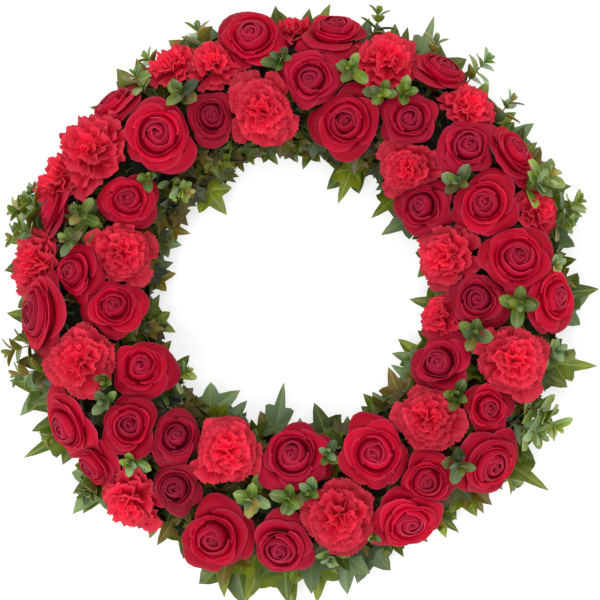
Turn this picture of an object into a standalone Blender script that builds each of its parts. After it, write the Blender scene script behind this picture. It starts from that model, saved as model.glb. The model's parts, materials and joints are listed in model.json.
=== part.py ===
"""Round funeral wreath: red roses and carnations in a ring of floral foam, edged with ivy.

The wreath lies flat, flowers up. The origin is the ring's centre at the tray's underside, and +Z is up.
A clock angle is counted anticlockwise from +X. A lean is an angle from upright, outwards across the
ring's band, so a negative lean is towards the hole.
"""

import math
from collections import namedtuple

import bmesh
import bpy
from mathutils import Matrix, Vector

# Foam ring and tray, in metres
RING_RADIUS = 0.190  # centre line of the band
BAND_WIDTH = 0.085  # across the foam
FOAM_SIDE = 0.013  # upright side under the round top
TRAY_FLOOR = 0.002
TRAY_WALL = 0.0018
TRAY_HEIGHT = 0.012
FIT_GAP = 0.0003  # between pieces that touch
RING_SIDES = 28  # facets round every ring piece
DOME_STEPS = 4  # facets across the foam's round top

# Flower stems
STEM_RADIUS = 0.0022
STEM_LENGTH = 0.032  # from the head's base to the cut end
SOCKET_CLEARANCE = 0.0003
SOCKET_SIDES = 4

# Flower heads
NECK = 0.004  # from the foam to the head's base
ROSE_BASE_HEIGHT = 0.014
ROSE_HEIGHT_SHARE = 0.45  # of the head's width, above the base height
CARNATION_BASE_HEIGHT = 0.012
CARNATION_HEIGHT_SHARE = 0.38
CALYX_RADIUS = 0.006  # the tube under a carnation's petals
HEAD_GAP = 0.0008  # between heads that press on each other
PETAL_SIDES = 10  # two facets for each of the five petals in a row
TURN_BETWEEN_HEADS = 137.5  # degrees that each head is turned from the one before

# Ivy trails pinned round the foam's two sides
VINE_RADIUS = 0.002
VINE_SIDES = 4
LEAF_THICKNESS = 0.0014
LEAF_FOLD = 14  # degrees that each half rises from the midrib
LEAF_CEILING = 0.032  # ivy stays below this height and heads stay above it
LEAF_FLOOR = 0.0025
OUTER_LEAF_WIDTH = 0.054
INNER_LEAF_WIDTH = 0.046

# Worked out from the sizes above
DOME_RADIUS = BAND_WIDTH / 2
FOAM_BASE = TRAY_FLOOR + FIT_GAP
CORE_HEIGHT = FOAM_BASE + FOAM_SIDE  # the foam's round top is centred at this height
VINE_HEIGHT = TRAY_HEIGHT + FIT_GAP + VINE_RADIUS
VINE_OFFSET = DOME_RADIUS + FIT_GAP + VINE_RADIUS  # from the band's centre line

# Where each head goes: clock angle, lean of its place, head width in mm, lean of its face
ROSES = [
    (99, 45, 62, 20), (81, 54, 57, 48), (84, 3, 53, 0), (71, -25, 61, -12),
    (131, -3, 75, 0), (115, -14, 46, -8), (134, 62, 45, 58), (161, 47, 44, 62),
    (152, -15, 53, -8), (176, 9, 51, 24), (186, -23, 53, -14), (185, 41, 57, 52),
    (208, -29, 59, -14), (211, 49, 57, 52), (221, 4, 55, 0), (233, -16, 50, -10),
    (221, 54, 46, 58), (241, 18, 50, 10), (253, 41, 68, 18), (268, 41, 59, 24),
    (271, -32, 64, -16), (297, -14, 66, -4), (305, 22, 55, 16), (296, 44, 59, 44),
    (318, 47, 59, 46), (328, 19, 46, 20), (333, -31, 55, -20), (355, -16, 51, -8),
    (357, 46, 55, 50), (6, 12, 64, 6), (22, 1, 61, -6), (32, -44, 55, -26),
    (38, 12, 51, 8), (31, 45, 53, 54), (54, -1, 53, -2), (56, 55, 51, 60),
]
DARK_ROSES = {3, 6, 16, 18, 20, 21, 27, 28, 32, 33, 35}  # places in the list, of the deeper variety
CARNATIONS = [
    (118, 56, 52, 48), (109, 33, 50, 28), (99, -21, 64, -12), (145, 37, 70, 32),
    (154, 61, 54, 54), (168, -26, 64, -18), (173, 57, 57, 48), (199, 12, 71, 8),
    (232, 55, 59, 46), (249, -24, 68, -12), (282, 19, 73, 14), (316, -13, 70, -8),
    (341, 20, 71, 14), (349, -53, 45, -42), (17, 46, 46, 46), (11, -42, 61, -30),
    (45, -33, 57, -24), (46, 44, 46, 44), (67, 36, 61, 30), (90, 62, 46, 62),
]

# Ivy leaves: clock angle, reach from the vine in mm, skew in plan, pitch upwards, roll
OUTER_LEAVES = [
    (14, 41, 10, 12, -16), (0, 47, -6, 4, 12), (346, 51, 4, 10, -10), (334, 44, -12, 4, 14),
    (322, 64, 10, 8, -12), (310, 42, -10, 14, 16), (300, 40, 8, 2, -14), (290, 46, -8, 10, 10),
    (280, 46, 10, 2, -12), (270, 47, -4, 9, 14), (259, 51, 8, 0, -14), (248, 44, -10, 12, 12),
    (237, 40, 12, 2, -16), (225, 56, -6, 8, 10), (214, 58, 6, 0, -12), (204, 50, -10, 10, 14),
    (194, 48, 8, 2, -12), (184, 44, -8, 10, 12), (174, 43, 8, 0, -14), (164, 48, -8, 9, 12),
    (152, 34, 10, 3, -14), (140, 34, -10, 10, 14), (129, 38, 8, 2, -12), (118, 42, -8, 9, 12),
    (107, 42, 10, 2, -14), (95, 44, -8, 10, 12), (83, 46, 8, 2, -12), (72, 42, -10, 9, 14),
    (61, 56, 6, 2, -12), (49, 54, -8, 12, 10), (38, 46, 10, 2, -14), (26, 42, -8, 10, 12),
]
INNER_LEAVES = [
    (10, 30, 10, 12, 14), (32, 40, -14, 2, -14), (53, 36, 12, 10, 12), (70, 48, -8, 0, -12),
    (91, 32, 10, 10, 14), (112, 36, -12, 2, -12), (132, 50, 6, 0, 14), (152, 34, -14, 9, -14),
    (172, 32, 10, 2, 12), (193, 32, -10, 10, -14), (214, 40, 16, 2, 12), (235, 40, -12, 9, -12),
    (255, 34, 10, 2, 14), (274, 42, -14, 8, -14), (295, 34, 10, 2, 12), (317, 50, -6, 8, -14),
    (340, 38, 12, 2, 12),
]
# Half of an ivy leaf's outline: along as a share of its reach, across as a share of its width
HALF_LEAF = [(0.20, 0.05), (0.16, 0.28), (0.34, 0.32), (0.44, 0.50), (0.60, 0.27)]

# Across as a share of half the head's width, along as a share of its height, petal lobe, swirl in degrees
ROSE_ROWS = [(0.76, 0.16, 0.04, 0), (1.00, 0.60, 0.06, 0), (0.74, 0.80, 0.05, 24), (0.46, 1.00, 0.08, 40)]
ROSE_CROWN = 0.84
CARNATION_ROWS = [(1.00, 0.60, 0.08, 0), (0.70, 0.92, 0.10, 18)]
CARNATION_CALYX = 0.36  # where the petals leave the tube, as a share of the head's height
CARNATION_CROWN = 1.0
FACE_CENTRE = 0.62  # the middle of a head, as a share of its height
PRESS_PASSES = 6

Head = namedtuple("Head", "name kind half_width height centre axis base turn")


def clear_scene():
    for obj in list(bpy.data.objects):
        bpy.data.objects.remove(obj, do_unlink=True)


def new_collection(name):
    collection = bpy.data.collections.new(name)
    bpy.context.scene.collection.children.link(collection)
    return collection


def finish(name, rgb, roughness):
    material = bpy.data.materials.new(name)
    material.use_nodes = True
    shader = material.node_tree.nodes["Principled BSDF"]
    shader.inputs["Base Color"].default_value = (*rgb, 1.0)
    shader.inputs["Roughness"].default_value = roughness
    shader.inputs["Metallic"].default_value = 0.0
    return material


def add_object(name, bm, collection, material=None):
    """Turns the bmesh into a named object in the collection, and frees it."""
    mesh = bpy.data.meshes.new(name)
    bm.to_mesh(mesh)
    bm.free()
    obj = bpy.data.objects.new(name, mesh)
    collection.objects.link(obj)
    if material:
        mesh.materials.append(material)
    return obj


def add_helper(name, bm, collection):
    helper = add_object(name, bm, collection)
    helper.hide_render = True
    helper.display_type = "WIRE"
    return helper


def ring_direction(clock):
    """The unit vector from the wreath's centre to a clock angle."""
    return Vector((math.cos(math.radians(clock)), math.sin(math.radians(clock)), 0))


def across_band(clock, lean):
    """The unit vector that leans outwards across the band at a clock angle."""
    upright = Vector((0, 0, math.cos(math.radians(lean))))
    return ring_direction(clock) * math.sin(math.radians(lean)) + upright


def head_height(kind, width):
    if kind == "rose":
        return ROSE_BASE_HEIGHT + ROSE_HEIGHT_SHARE * width
    return CARNATION_BASE_HEIGHT + CARNATION_HEIGHT_SHARE * width


def plan_heads(kind, places):
    """The heads of one kind, each with its centre, the axis of its stem and the base where they meet."""
    heads = []
    for index, (clock, lean, width_mm, face) in enumerate(places, start=1):
        width = width_mm / 1000
        height = head_height(kind, width)
        core = ring_direction(clock) * RING_RADIUS + Vector((0, 0, CORE_HEIGHT))
        centre = core + across_band(clock, lean) * (DOME_RADIUS + NECK + FACE_CENTRE * height)
        axis = across_band(clock, face)
        base = centre - axis * (FACE_CENTRE * height)
        turn = math.radians(index * TURN_BETWEEN_HEADS)
        heads.append(Head(f"{kind}_{index:02d}", kind, width / 2, height, centre, axis, base, turn))
    return heads


def parting_planes(head, heads):
    """(unit normal, distance from the head's centre) of the planes that the head stays behind."""
    planes = [(Vector((0, 0, -1)), head.centre.z - LEAF_CEILING)]
    for other in heads:
        if other is head:
            continue
        across = other.centre - head.centre
        distance = across.length
        if distance > 1.3 * (head.half_width + other.half_width):
            continue
        middle = (distance**2 + head.half_width**2 - other.half_width**2) / (2 * distance)
        planes.append((across / distance, middle - HEAD_GAP / 2))
    return planes


def press(point, head, planes):
    """Moves a petal's point back behind the planes, towards the head's own axis where that is enough."""
    for _ in range(PRESS_PASSES):
        for normal, limit in planes:
            over = (point - head.centre).dot(normal) - limit
            if over <= 0:
                continue
            on_axis = head.base + head.axis * (point - head.base).dot(head.axis)
            arm = point - on_axis
            reach = arm.dot(normal)
            if reach > 1.2 * over:
                point = on_axis + arm * (1 - over / reach)
            else:
                point = point - normal * over
    return point


def head_rows(head):
    """The rows of a head from the stem's cut end up, as (radius, height over the base, lobe, swirl)."""
    rows = [(STEM_RADIUS, -STEM_LENGTH, 0, 0), (STEM_RADIUS, 0, 0, 0)]
    if head.kind == "carnation":
        rows.append((CALYX_RADIUS, CARNATION_CALYX * head.height, 0, 0))
    shares = ROSE_ROWS if head.kind == "rose" else CARNATION_ROWS
    for across, along, lobe, swirl in shares:
        rows.append((across * head.half_width, along * head.height, lobe, math.radians(swirl)))
    return rows


def add_head(head, heads, collection, material):
    """A head with its stem: a sphere's rows are drawn out to the flower's profile, then pressed."""
    rows = head_rows(head)
    crown = (ROSE_CROWN if head.kind == "rose" else CARNATION_CROWN) * head.height
    bm = bmesh.new()
    bmesh.ops.create_uvsphere(bm, u_segments=PETAL_SIDES, v_segments=len(rows) + 1, radius=1)
    placed = Matrix.Translation(head.base) @ head.axis.to_track_quat("Z", "Y").to_matrix().to_4x4()
    placed = placed @ Matrix.Rotation(head.turn, 4, "Z")
    to_local = placed.inverted()
    planes = parting_planes(head, heads)
    for vert in bm.verts:
        row = round(math.acos(max(-1, min(1, -vert.co.z))) / math.pi * (len(rows) + 1))
        if row == 0:
            vert.co = Vector((0, 0, -STEM_LENGTH - STEM_RADIUS / 2))
        elif row == len(rows) + 1:
            vert.co = Vector((0, 0, crown))
        else:
            radius, along, lobe, swirl = rows[row - 1]
            around = math.atan2(vert.co.y, vert.co.x)
            petal = 1 + lobe * math.cos(around * PETAL_SIDES / 2)
            turned = around + swirl
            vert.co = Vector((math.cos(turned) * radius * petal, math.sin(turned) * radius * petal, along))
        if row > 2:
            vert.co = to_local @ press(placed @ vert.co, head, planes)
    obj = add_object(head.name, bm, collection, material)
    obj.matrix_world = placed
    obj.data.shade_smooth()
    return obj


def add_sockets(heads, collection):
    """A hole's worth of cutter for each stem, a clearance wider and deeper than the stem."""
    radius = (STEM_RADIUS + SOCKET_CLEARANCE) / math.cos(math.pi / SOCKET_SIDES)
    depth = STEM_LENGTH + STEM_RADIUS / 2 + SOCKET_CLEARANCE
    for head in heads:
        bm = bmesh.new()
        bmesh.ops.create_cone(
            bm, cap_ends=True, segments=SOCKET_SIDES, radius1=radius, radius2=radius, depth=depth
        )
        cutter = add_helper("socket_" + head.name, bm, collection)
        cutter.location = head.base - head.axis * (depth / 2)
        cutter.rotation_euler = head.axis.to_track_quat("Z", "Y").to_euler()


def add_turned_ring(name, profile, collection, material):
    """A ring turned from a closed profile of (distance from the band's centre line, height)."""
    bm = bmesh.new()
    verts = [bm.verts.new((RING_RADIUS + across, 0, height)) for across, height in profile]
    for first, second in zip(verts, verts[1:] + verts[:1]):
        bm.edges.new((first, second))
    obj = add_object(name, bm, collection, material)
    screw = obj.modifiers.new("Turn", "SCREW")
    screw.steps = screw.render_steps = RING_SIDES
    screw.use_merge_vertices = True
    screw.merge_threshold = 0.00005
    return obj


def add_tray(collection, material):
    inside = DOME_RADIUS + FIT_GAP
    outside = inside + TRAY_WALL
    profile = [
        (outside, TRAY_HEIGHT), (outside, 0), (-outside, 0), (-outside, TRAY_HEIGHT),
        (-inside, TRAY_HEIGHT), (-inside, TRAY_FLOOR), (inside, TRAY_FLOOR), (inside, TRAY_HEIGHT),
    ]
    return add_turned_ring("base_tray", profile, collection, material)


def add_foam(sockets, collection, material):
    dome = [math.pi * step / DOME_STEPS for step in range(DOME_STEPS + 1)]
    top = [(-DOME_RADIUS * math.cos(a), CORE_HEIGHT + DOME_RADIUS * math.sin(a)) for a in dome]
    foam = add_turned_ring(
        "foam_ring", top + [(DOME_RADIUS, FOAM_BASE), (-DOME_RADIUS, FOAM_BASE)], collection, material
    )
    cut = foam.modifiers.new("Stem sockets", "BOOLEAN")
    cut.operation = "DIFFERENCE"
    cut.operand_type = "COLLECTION"
    cut.collection = sockets
    return foam


def leaf_verts(bm, reach, width):
    """The midrib's two ends, then the left and the right half's points, hinged up from the midrib."""
    fold = math.radians(LEAF_FOLD)
    foot = bm.verts.new((0, 0, 0))
    tip = bm.verts.new((reach, 0, 0))
    halves = []
    for side in (1, -1):
        points = [
            (along * reach, side * across * width * math.cos(fold), across * width * math.sin(fold))
            for along, across in HALF_LEAF
        ]
        halves.append([bm.verts.new(point) for point in points])
    return foot, tip, halves


def add_leaf(name, place, vine_radius, outwards, width, collection):
    """One ivy leaf, with its foot in the vine, as a helper that the trail is joined from."""
    clock, reach_mm, skew, pitch, roll = place
    bm = bmesh.new()
    foot, tip, (left, right) = leaf_verts(bm, reach_mm / 1000, width)
    bm.faces.new([foot, tip, *reversed(left)])
    bm.faces.new([foot, *right, tip])
    heading = math.radians(clock + skew + (0 if outwards else 180))
    placed = (
        Matrix.Translation(ring_direction(clock) * vine_radius + Vector((0, 0, VINE_HEIGHT)))
        @ Matrix.Rotation(heading, 4, "Z")
        @ Matrix.Rotation(math.radians(-pitch), 4, "Y")
        @ Matrix.Rotation(math.radians(roll), 4, "X")
    )
    to_local = placed.inverted()
    lowest = LEAF_FLOOR + LEAF_THICKNESS
    highest = LEAF_CEILING - LEAF_THICKNESS
    for vert in bm.verts:
        point = placed @ vert.co
        point.z = max(lowest, min(highest, point.z))
        vert.co = to_local @ point
    leaf = add_helper(name, bm, collection)
    leaf.matrix_world = placed
    thick = leaf.modifiers.new("Blade", "SOLIDIFY")
    thick.thickness = LEAF_THICKNESS
    thick.offset = 0
    return leaf


def add_ivy_trail(name, vine_radius, outwards, width, places, collection, helpers, material):
    """A vine that runs round the foam, with its leaves joined on."""
    leaves = new_collection(name + "_leaves")
    helpers.children.link(leaves)
    bpy.context.scene.collection.children.unlink(leaves)
    for index, place in enumerate(places):
        add_leaf(f"{name}_leaf_{index + 1:02d}", place, vine_radius, outwards, width, leaves)
    bpy.ops.mesh.primitive_torus_add(
        major_segments=RING_SIDES, minor_segments=VINE_SIDES, major_radius=vine_radius,
        minor_radius=VINE_RADIUS, location=(0, 0, VINE_HEIGHT),
    )
    vine = bpy.context.object
    vine.name = name
    vine.data.materials.append(material)
    for holder in list(vine.users_collection):
        holder.objects.unlink(vine)
    collection.objects.link(vine)
    join = vine.modifiers.new("Leaves", "BOOLEAN")
    join.operation = "UNION"
    join.operand_type = "COLLECTION"
    join.collection = leaves
    return vine


def main():
    clear_scene()
    wreath = new_collection("floral_wreath")
    helpers = new_collection("helpers")
    sockets = new_collection("stem_sockets")
    helpers.children.link(sockets)
    bpy.context.scene.collection.children.unlink(sockets)

    rose_petal = finish("rose_petal", (0.42, 0.006, 0.02), 0.55)
    dark_rose_petal = finish("dark_rose_petal", (0.20, 0.004, 0.016), 0.6)
    carnation_petal = finish("carnation_petal", (0.72, 0.02, 0.02), 0.65)
    ivy_leaf = finish("ivy_leaf", (0.07, 0.16, 0.05), 0.45)
    floral_foam = finish("floral_foam", (0.06, 0.14, 0.06), 0.95)
    tray_plastic = finish("tray_plastic", (0.03, 0.07, 0.035), 0.5)

    roses = plan_heads("rose", ROSES)
    carnations = plan_heads("carnation", CARNATIONS)
    heads = roses + carnations
    for number, rose in enumerate(roses, start=1):
        add_head(rose, heads, wreath, dark_rose_petal if number in DARK_ROSES else rose_petal)
    for carnation in carnations:
        add_head(carnation, heads, wreath, carnation_petal)

    add_tray(wreath, tray_plastic)
    add_sockets(heads, sockets)
    add_foam(sockets, wreath, floral_foam)
    add_ivy_trail(
        "ivy_trail_outer", RING_RADIUS + VINE_OFFSET, True, OUTER_LEAF_WIDTH, OUTER_LEAVES,
        wreath, helpers, ivy_leaf,
    )
    add_ivy_trail(
        "ivy_trail_inner", RING_RADIUS - VINE_OFFSET, False, INNER_LEAF_WIDTH, INNER_LEAVES,
        wreath, helpers, ivy_leaf,
    )


main()
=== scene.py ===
import functools
import json
import math
import random

import bpy
import numpy as np
from mathutils import Matrix, Vector


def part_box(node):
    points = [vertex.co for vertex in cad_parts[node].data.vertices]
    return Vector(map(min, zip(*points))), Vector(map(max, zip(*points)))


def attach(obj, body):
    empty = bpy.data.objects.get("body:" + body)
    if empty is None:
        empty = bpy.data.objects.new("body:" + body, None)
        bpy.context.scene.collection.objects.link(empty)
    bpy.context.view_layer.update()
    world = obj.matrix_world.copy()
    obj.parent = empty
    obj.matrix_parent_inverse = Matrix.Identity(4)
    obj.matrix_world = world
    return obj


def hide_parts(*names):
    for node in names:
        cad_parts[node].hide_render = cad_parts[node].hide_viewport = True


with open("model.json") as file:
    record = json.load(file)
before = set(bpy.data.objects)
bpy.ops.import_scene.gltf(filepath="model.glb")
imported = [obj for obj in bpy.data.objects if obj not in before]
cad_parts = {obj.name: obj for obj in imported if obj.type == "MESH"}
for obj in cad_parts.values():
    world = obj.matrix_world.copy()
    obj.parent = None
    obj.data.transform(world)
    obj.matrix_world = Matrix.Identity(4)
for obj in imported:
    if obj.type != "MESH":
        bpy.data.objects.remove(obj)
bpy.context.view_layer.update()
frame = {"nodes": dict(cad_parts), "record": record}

# A round funeral wreath that lies on the floor, looked at from above: roses and carnations
# in a ring of floral foam, with ivy at its two sides and small-leaved sprigs between the heads.
# All sizes are metres in the frame's axes. A clock angle is counted anticlockwise from +X, and
# a lean is an angle from upright, outwards across the ring's band.


# Sizes read from the frame

def nodePoints(name):
    mesh = frame["nodes"][name].data
    points = np.empty(len(mesh.vertices) * 3)
    mesh.vertices.foreach_get("co", points)
    return np.unique(points.reshape(-1, 3).round(6), axis=0)


foamPoints = nodePoints("foam_ring")
foamRadii = np.hypot(foamPoints[:, 0], foamPoints[:, 1])
domeRadius = (foamRadii.max() - foamRadii.min()) / 2
ringRadius = (foamRadii.max() + foamRadii.min()) / 2
coreHeight = foamPoints[:, 2].max() - domeRadius


def ringDirection(clock):
    return np.array([math.cos(math.radians(clock)), math.sin(math.radians(clock)), 0.0])


def ringPoint(clock, radius, height):
    return ringDirection(clock) * radius + np.array([0.0, 0.0, height])


def acrossBand(clock, lean):
    return ringPoint(clock, math.sin(math.radians(lean)), math.cos(math.radians(lean)))


# A point at a height over the foam's round top
def bandPoint(clock, lean, rise):
    return ringPoint(clock, ringRadius, coreHeight) + acrossBand(clock, lean) * (domeRadius + rise)


# Thin closed shells, such as petals and leaves, collected into one mesh

@functools.cache
def shellFaces(rows, columns):
    index = np.arange(rows * columns).reshape(rows, columns)
    front = np.stack([index[:-1, :-1], index[:-1, 1:], index[1:, 1:], index[1:, :-1]], axis=-1).reshape(-1, 4)
    back = front[:, ::-1] + rows * columns
    rim = np.concatenate([index[0, :], index[1:, -1], index[-1, -2::-1], index[-2:0:-1, 0]])
    after = np.roll(rim, -1)
    side = np.stack([after, rim, rim + rows * columns, after + rows * columns], axis=-1)
    return np.concatenate([front, back, side])


class Shells:
    def __init__(self):
        self.points = []
        self.faces = []
        self.places = []
        self.tints = []
        self.finishes = []
        self.count = 0

    def collect(self, points, faces, places, tint, finish):
        self.points.append(points)
        self.faces.extend((faces + self.count).tolist())
        self.places.append(places)
        self.tints.append(np.broadcast_to(tint, (len(points), 3)))
        self.finishes.extend([finish] * len(faces))
        self.count += len(points)

    # A sheet given by rows and columns of points gets a thickness and a closed rim
    def addSheet(self, grid, thickness, places, tint, finish=0):
        rows, columns = grid.shape[:2]
        normal = np.cross(np.gradient(grid, axis=1), np.gradient(grid, axis=0))
        normal /= np.linalg.norm(normal, axis=2, keepdims=True) + 1e-12
        points = np.concatenate([grid + normal * thickness / 2, grid - normal * thickness / 2])
        places = np.concatenate([places, places]).reshape(-1, 3)
        self.collect(points.reshape(-1, 3), shellFaces(rows, columns), places, tint, finish)

    # A round stem along a path, closed at both ends
    def addStem(self, path, radii, sides, tint, finish=0):
        path = np.asarray(path)
        tangents = np.gradient(path, axis=0)
        tangents /= np.linalg.norm(tangents, axis=1, keepdims=True)
        aside = np.cross(tangents, [0.31, 0.47, 0.83])
        aside /= np.linalg.norm(aside, axis=1, keepdims=True)
        over = np.cross(tangents, aside)
        turn = np.arange(sides) * 2 * math.pi / sides
        rings = path[:, None] + np.asarray(radii)[:, None, None] * (
            np.cos(turn)[None, :, None] * aside[:, None] + np.sin(turn)[None, :, None] * over[:, None]
        )
        points = np.concatenate([rings.reshape(-1, 3), path[:1], path[-1:]])
        faces = []
        for row in range(len(path) - 1):
            for side in range(sides):
                low, beside = row * sides + side, row * sides + (side + 1) % sides
                faces.append([low, beside, beside + sides, low + sides])
        first, last = len(points) - 2, len(points) - 1
        top = (len(path) - 1) * sides
        for side in range(sides):
            beside = (side + 1) % sides
            faces.append([first, beside, side, side])
            faces.append([last, top + side, top + beside, top + beside])
        along = np.repeat(np.linspace(0, 1, len(path)), sides)
        places = np.stack([np.zeros(len(points)), np.append(along, [0, 1]), np.zeros(len(points))], axis=1)
        self.collect(points, np.array(faces), places, tint, finish)

    def toObject(self, name, materials):
        mesh = bpy.data.meshes.new(name)
        faces = [face[:3] if face[2] == face[3] else face for face in self.faces]
        mesh.from_pydata(np.concatenate(self.points).tolist(), [], faces)
        for label, rows in (("place", self.places), ("tint", self.tints)):
            values = mesh.attributes.new(label, "FLOAT_VECTOR", "POINT")
            values.data.foreach_set("vector", np.concatenate(rows).astype(np.float32).ravel())
        for material in materials:
            mesh.materials.append(material)
        mesh.polygons.foreach_set("material_index", self.finishes)
        mesh.shade_smooth()
        mesh.set_sharp_from_angle(angle=math.radians(62))
        mesh.update()
        piece = bpy.data.objects.new(name, mesh)
        bpy.context.scene.collection.objects.link(piece)
        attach(piece, "root")
        return piece


# Where each flower sits, read from its CAD node

roseShape = {
    "petals": 19,
    "rows": 10,
    "columns": 12,
    "baseHeight": 0.014,  # the head's height is this and a share of its width
    "heightShare": 0.45,
    "budThickness": 0.0009,
    "thickness": 0.0005,
    "turnBetweenPetals": 137.5,
    "upReach": 0.28,  # how much longer the petals are that face upwards on a leaning head
    "order": [0.0, 0.20, 0.39, 0.44, 0.67, 0.72, 1.0],  # bud, cup and outer petals, of them all
    "radii": [-0.02, 0.19, 0.36, 0.47, 0.66, 0.80, 1.02],  # of the head's half width
    "rims": [1.0, 0.965, 0.915, 0.90, 0.88, 0.82, 0.64],  # of the head's height
    "halfAngles": [150, 92, 86, 80, 76, 64, 56],  # half the angle that a petal wraps
    "flare": [0.0, 0.0, 0.06, 0.30, 0.55, 0.85, 1.0],  # from a closed bud to an open bowl
    "curls": [0.0, 0.0, 0.10, 0.70, 0.95, 1.05, 1.2],  # how far the rim rolls out and down
    "feet": [0.55, 0.50, 0.45, 0.28, 0.22, 0.12, 0.10],  # where a petal starts, of the head's height
    "bulge": 0.34,  # how far a bud petal's middle stands out from its rim, of the half width
    "shoulder": 0.86,  # and how high that is, of its rim's height
    "curlStart": 0.66,
    "curlOut": 0.13,
    "curlDown": 0.20,
    "droop": 0.10,  # how far the outer rims of some heads hang lower, of their height
    "wave": 0.035,  # waves and ripples of a petal, of the head's half width
    "ripple": 0.018,
    "heartScatter": 0.03,  # how far each bud petal may sit off the heart
    "heartShift": 0.13,  # how far a heart may sit off its head's middle
    "heartRise": 0.26,  # and how far it sits up from there on a leaning head
    "stemRadius": 0.0022,
}
carnationShape = {
    "petals": 32,
    "rows": 7,
    "columns": 16,
    "baseHeight": 0.012,
    "heightShare": 0.38,
    "budThickness": 0.0004,
    "thickness": 0.0004,
    "turnBetweenPetals": 137.5,
    "upReach": 0.28,
    "calyxHeight": 0.36,
    "calyxRadius": 0.006,
    "heartShift": 0.0,
    "heartRise": 0.0,
    "innerRuffle": 0.15,
    "outerRuffle": 0.085,
    "waves": 1.25,
    "tooth": 0.024,
    "innerBlade": 0.32,
    "outerBlade": 0.46,
    "lobes": 5,  # the widest petals stand together in so many lobes
    "lobeReach": 0.11,
    "domeAcross": [0.0, 0.70, 1.0],
    "domeHeight": [0.98, 0.93, 0.60],
}
faceCentre = 0.62  # the middle of a head, as a share of its height
headOverlap = 0.0035  # how far the petals of two heads reach past each other
ivyCeiling = 0.032  # heads' petals are kept above this height, over the ivy


# Heads whose petals open wider or less wide than most, and heads that are brighter or duller
headFullness = {
    1.50: "rose_12 carnation_05",
    1.36: "rose_07 rose_36",
    1.28: "rose_08 rose_14 rose_17 carnation_07 carnation_18",
    1.18: "rose_02 carnation_04 carnation_20",
    1.14: "rose_01 rose_24 rose_34",
    1.10: "rose_03 rose_29 carnation_01 carnation_02 carnation_09",
    1.06: "rose_04 rose_06 rose_10 rose_25 rose_33 carnation_03 carnation_19",
    0.97: "rose_09 rose_19 rose_22",
    0.94: "rose_05 rose_13 rose_18 rose_20 rose_23 rose_26 rose_31 carnation_10 carnation_11",
    0.90: "carnation_06 carnation_12 carnation_13",
}
headBrightness = {
    0.5: "rose_01 rose_05 rose_22 rose_24 rose_29 carnation_01 carnation_10 carnation_18",
    0.25: "rose_02 rose_07 rose_13 rose_14 rose_34 rose_36 carnation_05 carnation_09 carnation_19",
    -0.35: "rose_04 rose_15 rose_19 rose_23 rose_28 carnation_11 carnation_12 carnation_17",
    -0.8: "rose_06 rose_16",
    -1.2: "rose_18",
}


def headSetting(settings, name, usual):
    return next((value for value, names in settings.items() if name in names.split()), usual)


class Seat:
    # A head's seat: base and axis from its stem's two rings, height and width from its top
    def __init__(self, name, shape, number):
        points = nodePoints(name)
        fromMiddle = np.linalg.norm(points - points.mean(axis=0), axis=1)
        cutEnd = points[fromMiddle.argmax()]
        order = np.argsort(np.linalg.norm(points - cutEnd, axis=1))
        lowRing, highRing = points[order[1:11]].mean(axis=0), points[order[11:21]].mean(axis=0)
        self.name = name
        self.shape = shape
        self.base = highRing
        self.cutEnd = lowRing
        self.axis = (highRing - lowRing) / np.linalg.norm(highRing - lowRing)
        self.height = ((points - self.base) @ self.axis).max()
        self.halfWidth = (self.height - shape["baseHeight"]) / shape["heightShare"] / 2
        self.halfWidth *= headSetting(headFullness, name, 1.0)
        self.centre = self.base + self.axis * faceCentre * self.height
        self.budScale = 1 + 0.14 * math.sin(number * 2.4)
        self.droop = 0.5 + 0.5 * math.sin(number * 1.7)
        self.lobeTurn = number * 1.9
        turn = Matrix.Rotation(math.radians(number * 83.0), 3, "Z")
        self.matrix = np.array(Vector(self.axis).to_track_quat("Z", "Y").to_matrix() @ turn)
        self.heart = ringDirection(number * 137.5)[:2] * shape["heartShift"] * (number % 3) / 2
        self.heart = (self.heart + self.matrix[2, :2] * shape["heartRise"]) * self.halfWidth

    # A value from the shape's tables for a petal at its place between heart and rim
    def at(self, key, openness):
        return np.interp(openness, self.shape["order"], self.shape[key])

    # A petal that faces upwards is longer, by this share
    def upward(self, around):
        facing = self.matrix @ np.array([math.cos(around), math.sin(around), 0.0])
        return 1 + self.shape["upReach"] * max(0.0, facing[2])

    def toFrame(self, points):
        return points @ self.matrix.T + self.base

    # The planes between this head and its neighbours, as (unit normal, distance from its centre)
    def partFrom(self, seats):
        self.planes = [(np.array([0.0, 0.0, -1.0]), self.centre[2] - ivyCeiling)]
        for other in seats:
            across = other.centre - self.centre
            distance = np.linalg.norm(across)
            if other is self or distance > 1.3 * (self.halfWidth + other.halfWidth):
                continue
            middle = (distance**2 + self.halfWidth**2 - other.halfWidth**2) / (2 * distance)
            self.planes.append((across / distance, middle + headOverlap / 2))

    # Petals crowd together, in their order, where a neighbour leaves less room than they would take
    def crowd(self, points):
        along = (points - self.base) @ self.axis
        onAxis = self.base + along[:, None] * self.axis
        arm = points - onAxis
        radius = np.linalg.norm(arm, axis=1) + 1e-9
        direction = arm / radius[:, None]
        limit = np.full(len(points), 1.0)
        for normal, distance in self.planes:
            toward = direction @ normal
            room = distance - (onAxis - self.centre) @ normal
            limit = np.where(toward > 0.05, np.minimum(limit, room / np.maximum(toward, 0.05)), limit)
        reach = 1.16 * self.halfWidth
        tight = np.clip(limit / reach, 0.45, 1.0)
        share = np.clip(radius / reach, 0, 1)
        crowded = onAxis + arm / (1 + (1 / tight - 1) * share**1.6)[:, None]
        for normal, distance in self.planes:
            over = np.maximum((crowded - self.centre) @ normal - distance, 0)
            crowded = crowded - 0.6 * over[:, None] * normal
        return crowded


def smooth(value):
    value = np.clip(value, 0, 1)
    return value * value * (3 - 2 * value)


def mix(first, second, share):
    return first + (second - first) * share


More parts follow.
